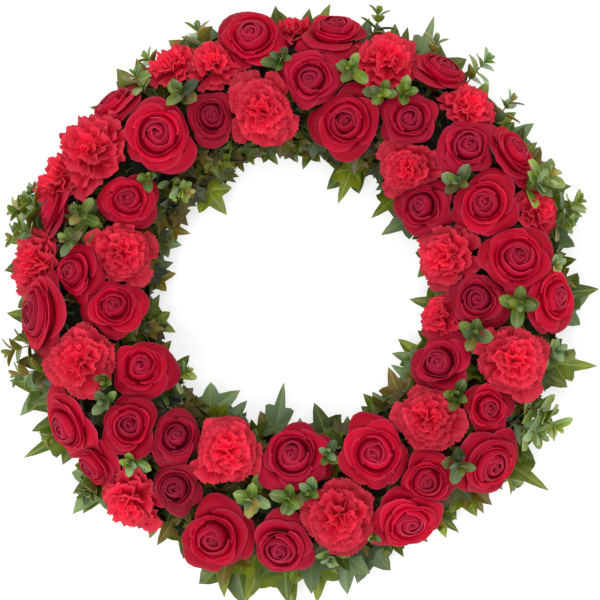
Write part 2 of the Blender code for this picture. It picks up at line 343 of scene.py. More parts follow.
def bezier(start, middle, end, t):
    return (1 - t) ** 2 * start + 2 * (1 - t) * t * middle + t**2 * end


# A sheet's own directions: u across it from -1 to 1, and v along it from 0 to 1
def sheetAxes(rows, columns):
    return np.linspace(-1, 1, columns)[None, :], np.linspace(0, 1, rows)[:, None]


def sheetPlaces(first, second, third):
    return np.stack(np.broadcast_arrays(first, second, third), axis=-1)


# Points from how far they are out, aside and up, turned about a head's axis
def turned(outward, sideways, upward, around):
    cos, sin = math.cos(around), math.sin(around)
    return np.stack([outward * cos - sideways * sin, outward * sin + sideways * cos, upward], axis=-1)


def rosePetal(seat, openness, around, draw):
    shape, width, height = seat.shape, seat.halfWidth, seat.height
    u, v = sheetAxes(shape["rows"], shape["columns"])
    v = v**0.75  # rows lie closer together toward the rim
    flare = seat.at("flare", openness)
    radius = width * seat.at("radii", openness) * (1 + draw.uniform(-0.12, 0.08) * smooth(flare))
    radius *= mix(1, seat.upward(around), flare)
    radius *= mix(seat.budScale, 1, smooth(flare / 0.5))
    rim = height * seat.at("rims", openness) * (1 + draw.uniform(-0.05, 0.03) * max(flare, 0.25))
    rim *= 1 - shape["droop"] * seat.droop * flare**3
    peak = draw.uniform(-0.25, 0.25)
    tip = mix(0.02, draw.uniform(0.04, 0.16), flare) * np.exp(-(((u - peak) / 0.30) ** 2))
    along = v * (1 - mix(0.12, 0.26, flare) * np.abs(u) ** 2.2 + tip)
    halfAngle = math.radians(seat.at("halfAngles", openness)) * draw.uniform(0.9, 1.12)
    spread = 0.42 + 0.58 * np.sin(np.clip(along / 0.6, 0, 1) * math.pi / 2)
    angle = around + u * halfAngle * spread
    middle = mix(radius + shape["bulge"] * width, radius * 0.62, smooth(flare))
    across = bezier(0.10 * width, middle, radius, along)
    shoulder = mix(shape["shoulder"] * rim, 0.56 * height, flare)
    upward = bezier(seat.at("feet", openness) * height, shoulder, rim, along)
    across = across * (1 + u * (0.07 * (1 - flare) + draw.uniform(-0.04, 0.06) * flare))
    curl = seat.at("curls", openness) * draw.uniform(0.65, 1.3) * (0.55 + 0.8 * np.abs(u - peak) ** 1.2)
    rolled = np.clip((along - shape["curlStart"]) / (1 - shape["curlStart"]), 0, 1.25)
    across = across + shape["curlOut"] * width * curl * np.sin(np.clip(rolled, 0, 1) * math.pi / 2) * rolled
    upward = upward - shape["curlDown"] * height * curl * rolled**2.4
    wave = np.sin(u * math.pi * draw.uniform(0.9, 1.9) + draw.uniform(0, 6)) * v**2 * (0.15 + flare)
    ripple = np.sin(u * draw.uniform(3.5, 6.0) + draw.uniform(0, 6)) * v**4 * flare
    across = across + shape["wave"] * width * wave + shape["ripple"] * width * ripple
    upward = upward + shape["wave"] * height * wave
    away = seat.heart * (1 - openness) ** 0.7
    away = away + ringDirection(draw.uniform(0, 360))[:2] * shape["heartScatter"] * width * (1 - flare)
    grid = np.stack([across * np.cos(angle) + away[0], across * np.sin(angle) + away[1], upward], axis=-1)
    return grid, sheetPlaces(u, v, openness)


def carnationPetal(seat, openness, around, draw):
    shape, width, height = seat.shape, seat.halfWidth, seat.height
    u, v = sheetAxes(shape["rows"], shape["columns"])
    radius = width * (0.07 + 1.06 * openness**0.62) * draw.uniform(0.92, 1.06)
    radius *= mix(1, seat.upward(around), openness)
    radius *= 1 + shape["lobeReach"] * openness**2 * math.cos(shape["lobes"] * around + seat.lobeTurn)
    rim = height * np.interp(radius / width, shape["domeAcross"], shape["domeHeight"])
    rim *= 1 + draw.uniform(-0.06, 0.03)
    along = v * (1 - 0.13 * u**2)
    across = bezier(0.02 * width, 0.32 * radius, radius, along)
    upward = bezier(0.34 * height, 0.92 * rim, rim, along)
    half = mix(shape["innerBlade"], shape["outerBlade"], openness) * draw.uniform(0.85, 1.15)
    blade = width * mix(0.07, half, smooth((along - 0.15) / 0.75))
    fold = np.sin(u * math.pi * shape["waves"] + draw.uniform(0, 6))
    fold = fold + 0.55 * np.sin(u * math.pi * shape["waves"] * 2.3 + draw.uniform(0, 6))
    ruffle = mix(shape["innerRuffle"], shape["outerRuffle"], openness) * width * along**1.4 * fold
    slopeAcross, slopeUp = np.gradient(across, axis=0), np.gradient(upward, axis=0)
    length = np.hypot(slopeAcross, slopeUp) + 1e-9
    slopeAcross, slopeUp = slopeAcross / length, slopeUp / length
    teeth = np.array([draw.uniform(0.3, 1.4) * (1 if index % 2 else -1) for index in range(shape["columns"])])
    teeth = shape["tooth"] * width * teeth[None, :] * v**6
    outward = across + teeth * slopeAcross - ruffle * slopeUp
    upward = upward + teeth * slopeUp + ruffle * slopeAcross
    return turned(outward, u * blade, upward, around), sheetPlaces(u, v, openness)


def addHeadPetals(shells, seat, petal, brightness, draw):
    shape = seat.shape
    for index in range(shape["petals"]):
        openness = index / (shape["petals"] - 1)
        around = math.radians(index * shape["turnBetweenPetals"] + draw.uniform(-16, 16))
        grid, places = petal(seat, openness, around, draw)
        grid = seat.crowd(seat.toFrame(grid.reshape(-1, 3))).reshape(grid.shape)
        tint = (brightness, draw.uniform(-1, 1), draw.uniform(0, 1))
        thickness = mix(shape["budThickness"], shape["thickness"], smooth(openness / 0.4))
        shells.addSheet(grid, thickness, places, tint)


sepalShape = {
    "count": 5,
    "rows": 5,
    "columns": 3,
    "reach": 0.62,  # of the head's half width
    "halfWidth": 0.0042,
    "thickness": 0.0006,
}


# The stem, and under the petals a rose's hip with its sepals or a carnation's calyx
def addHeadGreens(shells, seat, draw):
    isRose = seat.shape is roseShape
    height = seat.height
    stem = roseShape["stemRadius"]
    path = [(-1.0, stem), (-0.3, stem)]  # share of the way along the head's axis, and radius there
    if isRose:
        path += [(0.0, stem * 1.1), (0.08, stem * 2.2), (0.17, stem * 2.7), (0.22, stem)]
    else:
        calyx, top = carnationShape["calyxRadius"], carnationShape["calyxHeight"]
        path += [(0.0, stem), (0.05, calyx * 0.75), (0.2, calyx), (top, calyx * 1.05)]
    reach = np.linalg.norm(seat.base - seat.cutEnd)
    line = [seat.base + seat.axis * (share * (reach if share < 0 else height)) for share, _ in path]
    shells.addStem(line, [radius for _, radius in path], 10, (0, draw.uniform(-1, 1), 0), 1)
    if not isRose:
        return
    u, v = sheetAxes(sepalShape["rows"], sepalShape["columns"])
    for index in range(sepalShape["count"]):
        around = math.radians(index * 360 / sepalShape["count"] + draw.uniform(-8, 8))
        across = stem * 2 + v * seat.halfWidth * sepalShape["reach"] + 0 * u
        upward = height * (0.13 + 0.10 * v - 0.16 * v**2) + 0.0008 * u**2
        sideways = u * sepalShape["halfWidth"] * (1 - v**1.5 * 0.92)
        grid = seat.toFrame(turned(across, sideways, upward, around))
        tint = (0, draw.uniform(-1, 1), 0)
        shells.addSheet(grid, sepalShape["thickness"], sheetPlaces(u, v, 0.0), tint, 1)


# Ivy leaves: one outline from the petiole's end, lobe by lobe, with the folds along its veins

ivyShape = {
    "lobes": [(0, 1.0), (56, 0.80), (116, 0.52)],  # angle from the midrib and reach of each lobe
    "notches": [(28, 0.54), (86, 0.46), (158, 0.22)],
    "stepsBetween": 2,
    "bulge": 0.06,
    "rings": [0.01, 0.40, 0.75, 1.0],
    "plainRings": [0.01, 0.55, 1.0],  # for leaves that mostly lie hidden
    "thickness": 0.0005,
    "fold": 0.10,
    "droop": 0.22,
    "stalk": [0.0008, 0.0007, 0.0006],  # its radius from foot to leaf
    "floorGap": 0.0015,
}


def ivyOutline():
    corners = [corner for pair in zip(ivyShape["lobes"], ivyShape["notches"]) for corner in pair]
    points = [ringDirection(angle) * reach for angle, reach in corners]
    steps = ivyShape["stepsBetween"]
    half = []
    for first, second in zip(points, points[1:]):
        for step in range(steps):
            swell = 1 + ivyShape["bulge"] * math.sin(step / steps * math.pi)
            half.append(mix(first, second, step / steps) * swell)
    half.append(points[-1])
    mirrored = [point * (1, -1, 1) for point in half[:0:-1]]
    return np.array(mirrored + half)[:, :2]


leafOutline = ivyOutline()


# Points in a place, which is a matrix: x along the midrib, z out of the upper face
def placed(points, place):
    return points @ place[:3, :3].T + place[:3, 3]


# The length is the middle lobe's
def addIvyLeaf(shells, place, length, draw, tint, plain=False, width=1.0):
    rings = np.array(ivyShape["plainRings" if plain else "rings"])[:, None, None]
    outline = leafOutline[::ivyShape["stepsBetween"]] if plain else leafOutline
    stretch = np.array([draw.uniform(0.92, 1.08), draw.uniform(0.85, 1.12) * width])
    flat = rings * outline[None] * stretch
    x, y = flat[..., 0], flat[..., 1]
    reach = np.hypot(x, y)
    veins = np.radians([lobe for lobe, _ in ivyShape["lobes"]])
    fromVein = np.min(np.abs(np.abs(np.arctan2(y, x))[..., None] - veins), axis=2)
    fold = ivyShape["fold"] * draw.uniform(0.5, 1.6)
    lift = fold * reach * np.sin(np.clip(fromVein * 3, 0, math.pi / 2))
    lift += draw.uniform(0.05, 0.16) * np.abs(y) * reach
    lift -= ivyShape["droop"] * draw.uniform(0.3, 1.4) * np.clip(x, 0, 1) ** 2
    lift += 0.05 * np.sin(x * 5 + draw.uniform(0, 6)) * y
    grid = placed(np.stack([x, y, lift], axis=-1) * length, place)
    grid[..., 2] = np.maximum(grid[..., 2], ivyShape["floorGap"])
    shells.addSheet(grid, ivyShape["thickness"], sheetPlaces(x, y, 0.0), tint)


# A matrix with x along one direction and z near another
def placeAt(origin, along, upward):
    x = np.asarray(along) / np.linalg.norm(along)
    y = np.cross(upward, x)
    y /= np.linalg.norm(y)
    place = np.eye(4)
    place[:3, 0], place[:3, 1], place[:3, 2], place[:3, 3] = x, y, np.cross(x, y), origin
    return place


# A leaf on its stalk, from a foot to where its tip should come
def addStalkedLeaf(shells, foot, tip, upward, draw, tint, stalkShare=0.22, plain=False, width=1.0):
    along = tip - foot
    heart = foot + along * stalkShare
    arch = upward * 0.12 * np.linalg.norm(along) * stalkShare
    shells.addStem([foot, (foot + heart) / 2 + arch, heart], ivyShape["stalk"], 5, tint, 1)
    addIvyLeaf(shells, placeAt(heart, along, upward), np.linalg.norm(tip - heart), draw, tint, plain, width)


# The two trails. Reach is how far leaves reach at a clock angle, of the CAD trail's own reach. Leaves that
# stand out are given one by one: clock angle, radius of the tip, the third value of leafTint and the width.

vineShape = {
    "radius": 0.002,
    "gap": 0.0003,
    "standOutStalk": 0.3,
}
outerTrail = {
    "node": "ivy_trail_outer",
    "side": 1,
    "seed": 11,
    "footSpread": 7,
    "tint": (0.1, 0.16, 0.06),  # as leafTint takes it
    "young": (8, 80),  # clock angles between which the leaves are young and pale
    "youngTint": (0.35, 0.16, 0.40),
    "smallLeaves": 58,
    "reach": [(0, 0.8), (17, 1.05), (30, 0.95), (41, 0.75), (52, 0.75), (62, 0.85), (68, 0.9), (73, 1.1),
              (82, 1.0), (100, 1.0), (123, 1.2), (140, 1.0), (166, 1.15), (180, 1.0), (198, 1.2), (216, 0.65),
              (223, 1.1), (240, 0.85), (250, 0.75), (258, 1.25), (270, 1.3), (280, 1.05), (286, 0.55),
              (300, 0.75), (317, 0.9), (328, 0.5), (341, 0.25), (350, 0.85)],
    "standOut": [(0, 0.283, 0, 0.8), (17, 0.283, 0, 1), (36, 0.277, -1, 1), (63, 0.296, -1, 0.5),
                 (67, 0.276, 0, 0.7), (75, 0.276, -1, 1), (84, 0.281, 0, 0.7), (108, 0.274, -1, 0.8),
                 (113, 0.277, 0, 1), (127, 0.258, 0, 1), (175, 0.280, 0, 0.9), (198, 0.268, -1, 1),
                 (203, 0.264, 0, 1), (206, 0.284, 0, 0.9), (210.8, 0.300, 0, 0.5), (221, 0.286, 0, 0.8),
                 (225, 0.286, 0, 0.9), (256, 0.290, 0, 0.9), (261, 0.288, 0, 1), (268, 0.284, 0, 1),
                 (274, 0.285, 0, 0.9), (279, 0.284, -1, 1), (292, 0.262, 0, 0.9), (304, 0.268, 0, 0.7),
                 (310, 0.268, 1, 0.7), (321.7, 0.298, 0, 0.45), (345.5, 0.287, 0, 0.6)],
}
innerTrail = {
    "node": "ivy_trail_inner",
    "side": -1,
    "seed": 12,
    "footSpread": 9,
    "tint": (0.0, 0.25, 0.08),
    "young": (0, 0),
    "smallLeaves": 150,
    "reach": [(45, 0.9), (56, 0.5), (67, 0.7), (80, 0.9), (94, 0.7), (105, 0.55), (118, 0.45), (139, 0.25),
              (161, 0.85), (183, 0.7), (206, 0.8), (225, 0.6), (232, 0.7), (245, 1.3), (257, 0.7),
              (264, 1.0), (285, 1.0), (292, 0.6), (301, 1.3), (310, 1.1), (316, 0.2), (323, 1.0),
              (335, 1.05), (350, 1.15)],
    "standOut": [(263, 0.086, -1, 0.5), (131, 0.105, 0, 1.1), (65, 0.095, 0, 0.65), (45, 0.103, 0, 0.6),
                 (35, 0.100, -1, 0.9), (356, 0.108, 0, 0.8), (329, 0.106, -1, 0.8), (307, 0.118, -1, 1),
                 (304, 0.116, 0, 0.9), (322, 0.112, -1, 0.8), (244, 0.110, -1, 0.9), (238, 0.122, 0, 1),
                 (150, 0.120, 1, 1)],
}


# The CAD trail's leaf tips: where the node's reach peaks as it goes round
def trailTips(trail):
    points = nodePoints(trail["node"])
    radii = np.hypot(points[:, 0], points[:, 1]) * trail["side"]
    clocks = np.degrees(np.arctan2(points[:, 1], points[:, 0])) % 360
    tips = []
    for index in np.argsort(-radii):
        apart = [abs((clocks[index] - clock + 180) % 360 - 180) for clock, _, _ in tips]
        if radii[index] < np.median(radii) or (apart and min(apart) < 6.0):
            continue
        tips.append((clocks[index], abs(radii[index]), points[index, 2]))
    return tips


def reachAt(clock, trail):
    clocks, shares = zip(*trail["reach"])
    return np.interp(clock % 360, clocks, shares, period=360)


def addVine(shells, radius, height, draw):
    wobble = [0.0006 * math.sin(math.radians(clock * 11)) for clock in range(0, 361, 2)]
    path = [ringPoint(index * 2, radius + aside, height) for index, aside in enumerate(wobble)]
    shells.addStem(path, [vineShape["radius"] * 0.9] * len(path), 6, (0, draw.uniform(-1, 1), 0), 1)


# Brightness, hue from blade to light, and 1 for a bronzed leaf or -1 for one with a bloom
def leafTint(draw, brightness, bronzeShare, bloomShare=0.08):
    kind = draw.random()
    kind = (kind < bronzeShare) - (kind > 1 - bloomShare)
    return (brightness + draw.uniform(-0.4, 0.4), draw.uniform(-1, 1), kind)


# A trail's vine, and a leaf to each leaf tip of the CAD trail
def startTrail(trail, height):
    draw = random.Random(trail["seed"])
    shells = Shells()
    vine = ringRadius + trail["side"] * (domeRadius + vineShape["gap"] + vineShape["radius"])
    addVine(shells, vine, height, draw)
    spread = trail["footSpread"]
    for clock, radius, tipHeight in trailTips(trail):
        foot = ringPoint(clock + draw.uniform(-spread, spread), vine, height)
        tip = ringPoint(clock, vine + (radius - vine) * reachAt(clock, trail), tipHeight)
        upward = ringPoint(draw.uniform(0, 360), 0.3, 1.0)
        young = trail["young"][0] < clock < trail["young"][1]
        tint = leafTint(draw, *trail["youngTint" if young else "tint"])
        addStalkedLeaf(shells, foot, tip, upward, draw, tint)
    return shells, vine, draw


def addStandOutLeaves(shells, trail, vine, height, draw):
    for clock, tipRadius, kind, width in trail["standOut"]:
        foot = ringPoint(clock + draw.uniform(-3, 3), vine, height)
        tip = ringPoint(clock, tipRadius, height + draw.uniform(0.006, 0.018))
        upward = ringPoint(draw.uniform(0, 360), 0.35, 1.0)
        tint = (draw.uniform(-0.1, 0.4), draw.uniform(-0.6, 1), kind)
        addStalkedLeaf(shells, foot, tip, upward, draw, tint, vineShape["standOutStalk"], width=width)


def makeOuterTrail():
    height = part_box("ivy_trail_outer")[0][2] + vineShape["radius"]
    shells, vine, draw = startTrail(outerTrail, height)
    for index in range(outerTrail["smallLeaves"]):
        clock = index * 360 / outerTrail["smallLeaves"] + draw.uniform(-2.5, 2.5)
        foot = ringPoint(clock + draw.uniform(-5, 5), vine - 0.002, height + 0.006)
        lift = draw.uniform(0.012, 0.034)
        reach = draw.uniform(0.024, 0.040) * reachAt(clock, outerTrail)
        upward = ringPoint(clock + draw.uniform(-60, 60), 0.5, 1.0)
        tint = leafTint(draw, -0.1, 0.25, 0.06)
        addStalkedLeaf(shells, foot, ringPoint(clock, vine + reach, height + lift), upward, draw, tint)
    addStandOutLeaves(shells, outerTrail, vine, height, draw)
    return shells


def makeInnerTrail():
    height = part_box("ivy_trail_inner")[0][2] + vineShape["radius"]
    shells, vine, draw = startTrail(innerTrail, height)
    for index in range(innerTrail["smallLeaves"]):  # twice round
        clock = index * 360 / innerTrail["smallLeaves"] * 2 + draw.uniform(-4, 4)
        foot = bandPoint(clock, -draw.uniform(48, 88), 0.002)
        inward = draw.uniform(0.010, 0.026) * min(1.0, 0.55 + 0.45 * reachAt(clock, innerTrail))
        tip = foot + ringPoint(clock + draw.uniform(-40, 40), -inward, draw.uniform(-0.010, 0.014))
        upward = ringPoint(clock + draw.uniform(-50, 50), -0.55, 1.0)
        addStalkedLeaf(shells, foot, tip, upward, draw, leafTint(draw, -0.22, 0.42))
    addStandOutLeaves(shells, innerTrail, vine, height, draw)
    return shells


# Leaves that fill the gaps between the heads, low on the foam

fillShape = {
    "clockStep": 2.5,
    "leans": [-70, -62, -54, -46, -38, -30, -22, -14, -6, 2, 10, 18, 26, 34, 42, 50, 58, 66, 76, 86],
    "apart": 0.0085,  # in a gap, and farther under a head's rim
    "hiddenApart": 0.0130,
    "footRise": 0.003,
    "headRise": 0.026,  # the height over the foam at which a head may stand in the way
    "underRim": 0.84,  # of a head's half width: within it a leaf lies lower
    "underHead": 0.62,  # and within this there is none
    "rise": 0.016,
    "length": 0.018,
    "lowestTip": 0.006,
}


class HeadSpace:
    # The space that the heads take, to keep leaves out of it
    def __init__(self, seats):
        self.bases = np.array([seat.base for seat in seats])
        self.axes = np.array([seat.axis for seat in seats])
        self.heights = np.array([seat.height for seat in seats])
        self.halfWidths = np.array([seat.halfWidth for seat in seats])

    def holds(self, point, margin):
        fromBase = point - self.bases
        along = (fromBase * self.axes).sum(axis=1)
        away = np.linalg.norm(fromBase - along[:, None] * self.axes, axis=1) / self.halfWidths
        return bool(np.any((along > 0) & (along < self.heights * (1 - 0.28 * away**2)) & (away < margin)))


def makeFillLeaves(space):
    draw = random.Random(13)
    shells = Shells()
    steps = int(360 / fillShape["clockStep"])
    spots = [(step * fillShape["clockStep"], lean) for step in range(steps) for lean in fillShape["leans"]]
    draw.shuffle(spots)
    feet = []
    for clock, lean in spots:
        foot = bandPoint(clock, lean, fillShape["footRise"])
        above = bandPoint(clock, lean, fillShape["headRise"])
        low = space.holds(above, fillShape["underRim"])
        apart = fillShape["hiddenApart"] if low else fillShape["apart"]
        if feet and np.linalg.norm(np.array(feet) - foot, axis=1).min() < apart:
            continue
        if space.holds(above, fillShape["underHead"]):
            continue
        feet.append(foot)
        out = acrossBand(clock, lean)
        sideways = np.cross(out, ringDirection(draw.uniform(0, 360)))
        sideways /= np.linalg.norm(sideways)
        reach = fillShape["length"] * draw.uniform(0.75, 1.3)
        rise = fillShape["rise"] * (draw.uniform(0.2, 0.6) if low else draw.uniform(0.6, 1.5))
        tip = foot + out * rise + sideways * reach
        tip[2] = max(tip[2], fillShape["lowestTip"])
        # painted shade: the fill leaves are made darker, as the gaps between the heads lie in shade
        addStalkedLeaf(shells, foot, tip, out, draw, leafTint(draw, -0.7, 0.4), 0.35, plain=True)
    return shells


# Small-leaved sprigs

sprigShape = {
    "openings": [24, 44, 60, 70, 80, 88],  # how far each pair of leaves opens from the stem, in degrees
    "lengths": [0.45, 0.75, 0.95, 1.05, 1.05, 1.0],
    "lift": 0.004,
    "leafLength": 0.0175,
    "leafWidth": 0.56,  # of the leaf's length
    "rows": 9,
    "columns": 5,
    "thickness": 0.0006,
    "stemRadius": 0.0011,
    "pairGap": 0.0046,
    # painted shade on the sprigs among the heads
    "shadeAmongHeads": 0.5,
    "footRise": -0.004,
    "topScatter": 0.18,  # how far a stem's end may lean off its own direction
    "headMargin": 1.10,
    "closer": 12,  # degrees that a leaf closes at a time until it clears the heads
}
# Clock angle, lean, rise of the tip over the foam and size; then the lean of the stem itself
sprigPlaces = [
    (110, 72, 0.038, 1.35, 80), (126, 48, 0.036, 1.1, 40), (119, 12, 0.036, 1.25, 5),
    (92, 15, 0.034, 1.0, 10), (74, 11, 0.040, 1.0, 5), (64, 2, 0.040, 1.0, 0),
    (58.5, 10, 0.039, 1.1, 8), (50, 74, 0.050, 1.15, 70), (41, 72, 0.038, 1.2, 78),
    (30.5, -8, 0.036, 1.2, -8), (23, 50, 0.040, 1.5, 56), (160, 10, 0.037, 1.15, 8),
    (163, 76, 0.046, 1.5, 72), (168, 13, 0.036, 1.1, 14), (191, 76, 0.042, 1.45, 82),
    (196, 70, 0.040, 1.3, 86), (207, -1, 0.034, 1.0, 0), (212, 6, 0.035, 1.0, 10),
    (217, -60, 0.028, 1.1, -74), (228, 20, 0.033, 1.0, 20), (260, 6, 0.034, 1.2, 8),
    (270, 3, 0.034, 1.15, 0), (283, -25, 0.033, 1.0, -24), (276, -2, 0.034, 1.1, -6),
    (313, 25, 0.037, 1.3, 24), (326, -6, 0.035, 1.1, -8), (344, -11, 0.036, 1.15, -10),
    (354, 13, 0.036, 1.25, 12), (332, 66, 0.042, 1.5, 70), (318, 66, 0.036, 1.2, 80),
    (60, 64, 0.040, 1.2, 60), (13, 62, 0.034, 1.0, 70), (167, 56, 0.036, 1.0, 60),
    (195, 10, 0.030, 0.9, 10), (142, -17, 0.035, 1.0, -16), (312, -32, 0.028, 0.9, -36),
    (278, 52, 0.030, 0.9, 56), (210, 72, 0.036, 1.0, 88), (224, 72, 0.034, 1.0, 88),
    (300, -30, 0.030, 0.9, -34), (346, 50, 0.030, 1.0, 50), (4, 40, 0.034, 0.9, 40),
    (183, 14, 0.032, 0.9, 14), (288, 36, 0.034, 0.9, 36), (122, 74, 0.036, 1.2, 76),
    (73, 72, 0.044, 1.15, 74), (168, 84, 0.044, 1.35, 88), (17, 74, 0.042, 1.3, 76),
    (158, 82, 0.040, 1.0, 84), (223, 84, 0.040, 1.0, 88), (22, 42, 0.038, 1.25, 44),
    (161, 66, 0.040, 1.4, 60), (166, 70, 0.037, 1.3, 66), (329, 60, 0.036, 1.35, 52),
    (333, 62, 0.032, 1.2, 56), (137.5, -46, 0.030, 0.9, -50),
]


def addSprigLeaf(shells, place, length, draw, tint):
    u, v = sheetAxes(sprigShape["rows"], sprigShape["columns"])
    half = 0.5 * sprigShape["leafWidth"] * np.sqrt(1 - np.abs(2 * v**1.1 - 1) ** 2.2)
    half = np.maximum(half, 0.03)
    bend = draw.uniform(0.05, 0.35)
    x = v * (1 - 0.12 * bend * v) + 0 * u
    z = 0.30 * np.abs(u) * half - bend * v**2 * 0.6
    grid = placed(np.stack([x, u * half, z], axis=-1) * length, place)
    shells.addSheet(grid, sprigShape["thickness"], sheetPlaces(x, u, 0.0), tint)


def addSprig(shells, sprig, space, draw):
    clock, lean, rise, size, stemLean = sprig
    top = bandPoint(clock, lean, rise + sprigShape["lift"])
    axis = acrossBand(clock, stemLean) + sprigShape["topScatter"] * ringDirection(draw.uniform(0, 360))
    axis /= np.linalg.norm(axis)
    foot = bandPoint(clock, lean, sprigShape["footRise"])
    path = bezier(foot, top - axis * (rise * 0.55), top, np.linspace(0, 1, 6)[:, None])
    shells.addStem(path, np.linspace(1.0, 0.45, 6) * sprigShape["stemRadius"], 5, (0, 0, 1), 1)
    side = np.cross(axis, [0.2, 0.5, 0.8])
    side /= np.linalg.norm(side)
    # a random tone per sprig, and painted shade: sprigs among the heads are darker by shadeAmongHeads
    toneAndShade = draw.uniform(-0.2, 0.35) - (sprigShape["shadeAmongHeads"] if abs(lean) < 40 else 0)
    bloomShare = draw.choice([0.05, 0.15, 0.4])
    for pair, (opening, share) in enumerate(zip(sprigShape["openings"], sprigShape["lengths"])):
        down = pair * sprigShape["pairGap"] * size * (0.5 + 0.16 * pair)
        origin = top - axis * down
        side = np.cross(axis, side)
        for way in (1, -1):
            sideways = way * side + 0.3 * np.cross(axis, side) * draw.uniform(-1, 1)
            length = sprigShape["leafLength"] * size * share * draw.uniform(0.85, 1.1)
            tint = leafTint(draw, toneAndShade, 0.12, bloomShare)
            opened = math.radians(opening + draw.uniform(-6, 6))
            while opened > 0:  # a leaf that would meet a head stands up more, or is left out
                along = axis * math.cos(opened) + sideways * math.sin(opened)
                upward = axis * math.sin(opened) - sideways * math.cos(opened)
                reached = [origin + along * length * part for part in (0.35, 0.7, 1.0)]
                if not any(space.holds(point, sprigShape["headMargin"]) for point in reached):
                    addSprigLeaf(shells, placeAt(origin, along, upward), length, draw, tint)
                    break
                opened -= math.radians(sprigShape["closer"])


# Materials

def newGroup(name, inputs):
    group = bpy.data.node_groups.new(name, "ShaderNodeTree")
    for label, value in inputs.items():
        kind = "NodeSocketColor" if isinstance(value, tuple) else "NodeSocketFloat"
        group.interface.new_socket(label, in_out="INPUT", socket_type=kind).default_value = value
    group.interface.new_socket("Colour", in_out="OUTPUT", socket_type="NodeSocketColor")
    group.interface.new_socket("Height", in_out="OUTPUT", socket_type="NodeSocketFloat")
    given, result = group.nodes.new("NodeGroupInput"), group.nodes.new("NodeGroupOutput")
    return group, Nodes(group), given.outputs, result.inputs


class Nodes:
    # Short ways to add nodes to a tree: sockets or numbers go in, a socket comes out
    def __init__(self, tree):
        self.tree = tree

    def feed(self, socket, value):
        if isinstance(value, bpy.types.NodeSocket):
            self.tree.links.new(value, socket)
        else:
            socket.default_value = value

    def math(self, operation, first, second=0.0, third=0.0, clamp=False):
        node = self.tree.nodes.new("ShaderNodeMath")
        node.operation = operation
        node.use_clamp = clamp
        for socket, value in zip(node.inputs, (first, second, third)):
            self.feed(socket, value)
        return node.outputs[0]

    def times(self, first, *others):
        return functools.reduce(lambda product, value: self.math("MULTIPLY", product, value), others, first)

    def line(self, value, slope, base, clamp=False):
        return self.math("MULTIPLY_ADD", value, slope, base, clamp)

    def rest(self, value):
        return self.math("SUBTRACT", 1.0, value)

    def blend(self, share, first, second):
        node = self.tree.nodes.new("ShaderNodeMix")
        node.data_type = "RGBA"
        for label, value in (("Factor_Float", share), ("A_Color", first), ("B_Color", second)):
            self.feed(next(socket for socket in node.inputs if socket.identifier == label), value)
        return next(socket for socket in node.outputs if socket.identifier == "Result_Color")

    def ramp(self, value, low, high):
        node = self.tree.nodes.new("ShaderNodeMapRange")
        node.interpolation_type = "SMOOTHSTEP"
        self.feed(node.inputs["Value"], value)
        self.feed(node.inputs["From Min"], low)
        self.feed(node.inputs["From Max"], high)
        return node.outputs[0]

    def vector(self, name):
        attribute = self.tree.nodes.new("ShaderNodeAttribute")
        attribute.attribute_name = name
        parts = self.tree.nodes.new("ShaderNodeSeparateXYZ")
        self.feed(parts.inputs[0], attribute.outputs["Vector"])
        return parts.outputs

    def noise(self, scale, detail=3.0):
        place = self.tree.nodes.new("ShaderNodeTexCoord")
        node = self.tree.nodes.new("ShaderNodeTexNoise")
        self.feed(node.inputs["Vector"], place.outputs["Object"])
        node.inputs["Scale"].default_value = scale
        node.inputs["Detail"].default_value = detail
        return node.outputs["Fac"]

    def brighten(self, colour, value):
        node = self.tree.nodes.new("ShaderNodeHueSaturation")
        self.feed(node.inputs["Color"], colour)
        self.feed(node.inputs["Value"], value)
        return node.outputs[0]


def makePetalGroup():
    # Painted light and shade: petals at the heart take the heart colour, painted shade on roses and a painted
    # lighter fill on carnations, and brighter ones lie outside; each petal has a painted highlight along its
    # rim and painted shade at its foot, and the outer petals take a painted shade by Outer Shade
    group, nodes, given, result = newGroup("Petal Colour", {
        "Deep": (0.1, 0.0, 0.01, 1), "Face": (0.5, 0.0, 0.02, 1), "Rim": (0.6, 0.05, 0.1, 1),
        "Rim Width": 0.1, "Rim Strength": 0.5, "Heart": 0.5, "Outer Shade": 0.2, "Veins": 30.0,
    })
    u, v, openness = nodes.vector("place")
    headTint, petalTint, _ = nodes.vector("tint")
    # painted shade at a rose's heart and a painted lighter fill at a carnation's crowded middle
    colour = nodes.blend(nodes.ramp(openness, 0.0, given["Heart"]), given["Deep"], given["Face"])
    # painted highlight along each petal's rim and sides
    edge = nodes.ramp(v, nodes.rest(given["Rim Width"]), 1.0)
    edge = nodes.math("MAXIMUM", edge, nodes.ramp(nodes.math("ABSOLUTE", u), 0.9, 1.0))
    edge = nodes.times(edge, nodes.ramp(v, 0.25, 0.8), given["Rim Strength"])
    edge = nodes.times(edge, nodes.line(openness, 0.25, 0.75))
    colour = nodes.blend(edge, colour, given["Rim"])
    mottle = nodes.line(nodes.noise(70.0), 0.30, 0.85)
    # painted shade: darker toward each petal's foot, deep in the head
    foot = nodes.line(nodes.ramp(v, 0.1, 0.8), 0.20, 0.80)
    level = nodes.times(mottle, foot, nodes.line(headTint, 0.30, 1.0), nodes.line(petalTint, 0.20, 1.0))
    shade = nodes.times(nodes.ramp(openness, 0.45, 1.0), given["Outer Shade"])
    nodes.feed(result["Colour"], nodes.brighten(colour, nodes.times(level, nodes.rest(shade))))
    lines = nodes.math("SINE", nodes.times(u, given["Veins"]))
    nodes.feed(result["Height"], nodes.line(nodes.noise(400.0), 0.6, nodes.times(lines, 0.2)))
    return group


